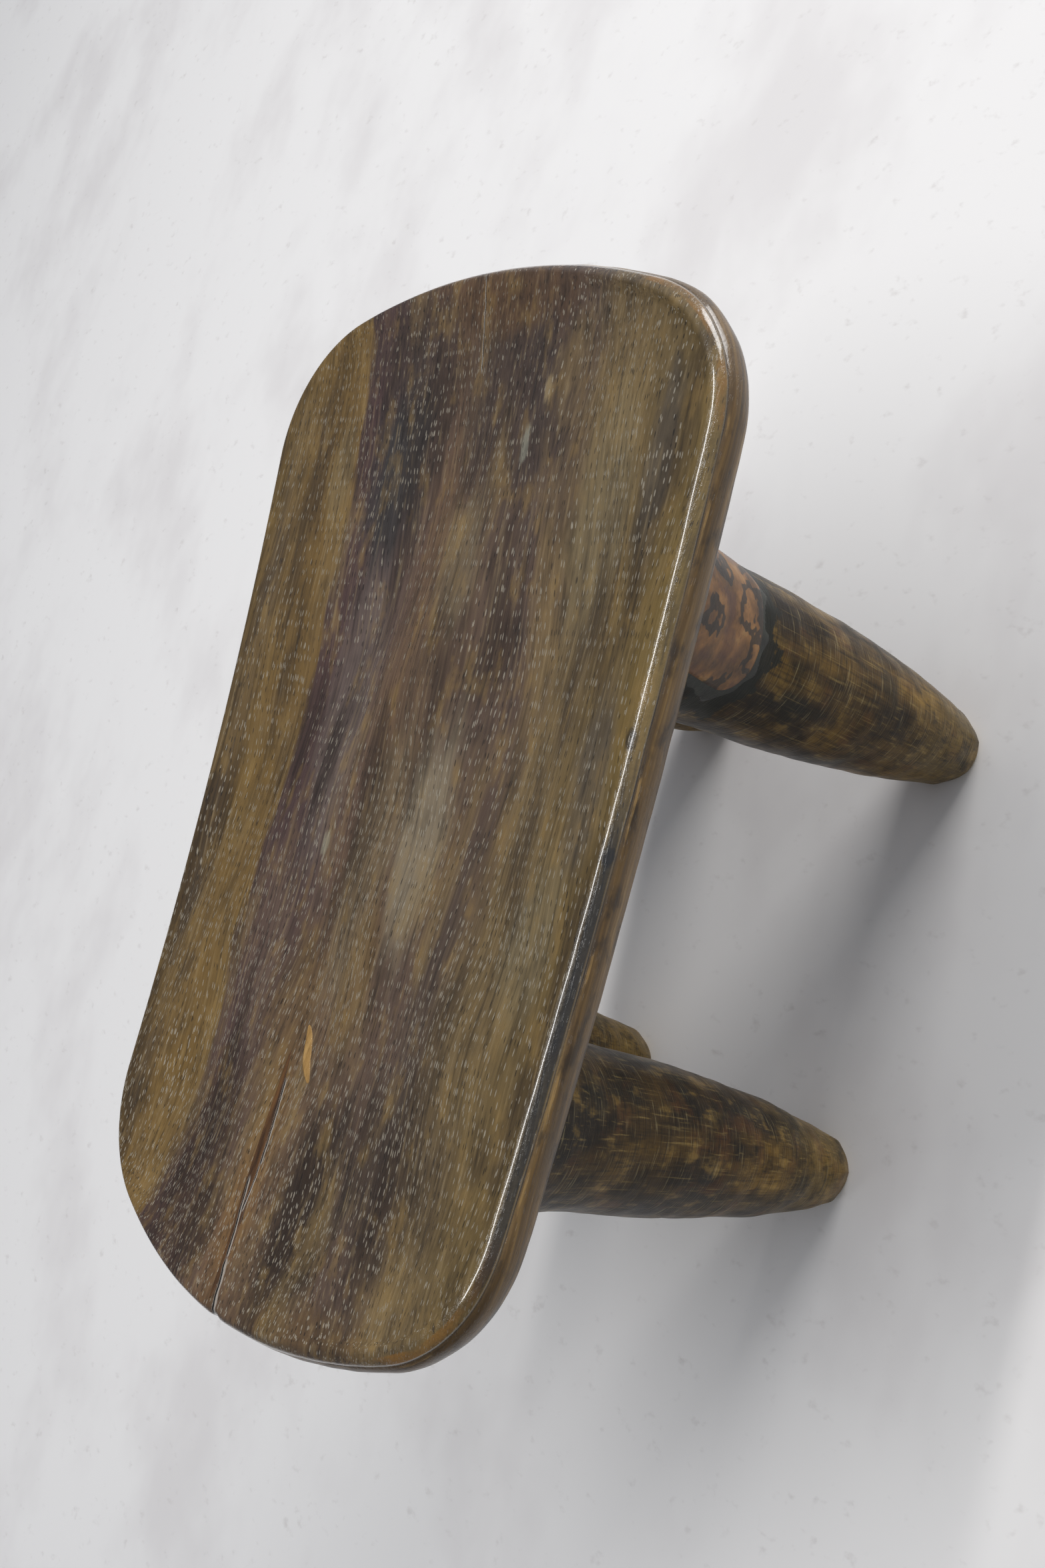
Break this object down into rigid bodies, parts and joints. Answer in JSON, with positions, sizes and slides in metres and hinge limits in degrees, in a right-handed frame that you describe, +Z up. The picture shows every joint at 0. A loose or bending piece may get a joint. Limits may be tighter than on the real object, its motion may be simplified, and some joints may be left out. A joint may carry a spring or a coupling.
{
  "type": "carved wooden headrest",
  "caption": "Long dished wooden headrest with rounded corners and a rolled rim, on tapering round legs, with an old repair at a leg root and a stopped end crack.",
  "frame": {"origin": "on the floor, below the middle of the seat's bounding box", "axes": "+Z up through the seat when it stands on its feet, +X along the seat towards its wider end, +Y to the left when facing +X"},
  "size_m": [0.388, 0.2346, 0.2679],
  "materials": {
    "seat_wood": "dark satin varnish over open-pored hardwood",
    "leg_wood": "dark satin varnish, mottled olive brown",
    "patch_wood": "satin varnish over orange-brown wood",
    "resin": "set dark resin, satin",
    "filler": "orange-brown stopping under varnish",
    "sliver_wood": "pale wood under varnish"
  },
  "bodies": {
    "root": {"seat": "seat_wood", "leg_wide_right": "leg_wood", "leg_wide_left": "leg_wood", "leg_narrow_right": "leg_wood", "leg_narrow_left": "leg_wood", "leg_root_patch": "patch_wood", "leg_root_resin": "resin", "crack_filler": "filler", "crack_sliver": "sliver_wood"}
  },
  "joints": []
}
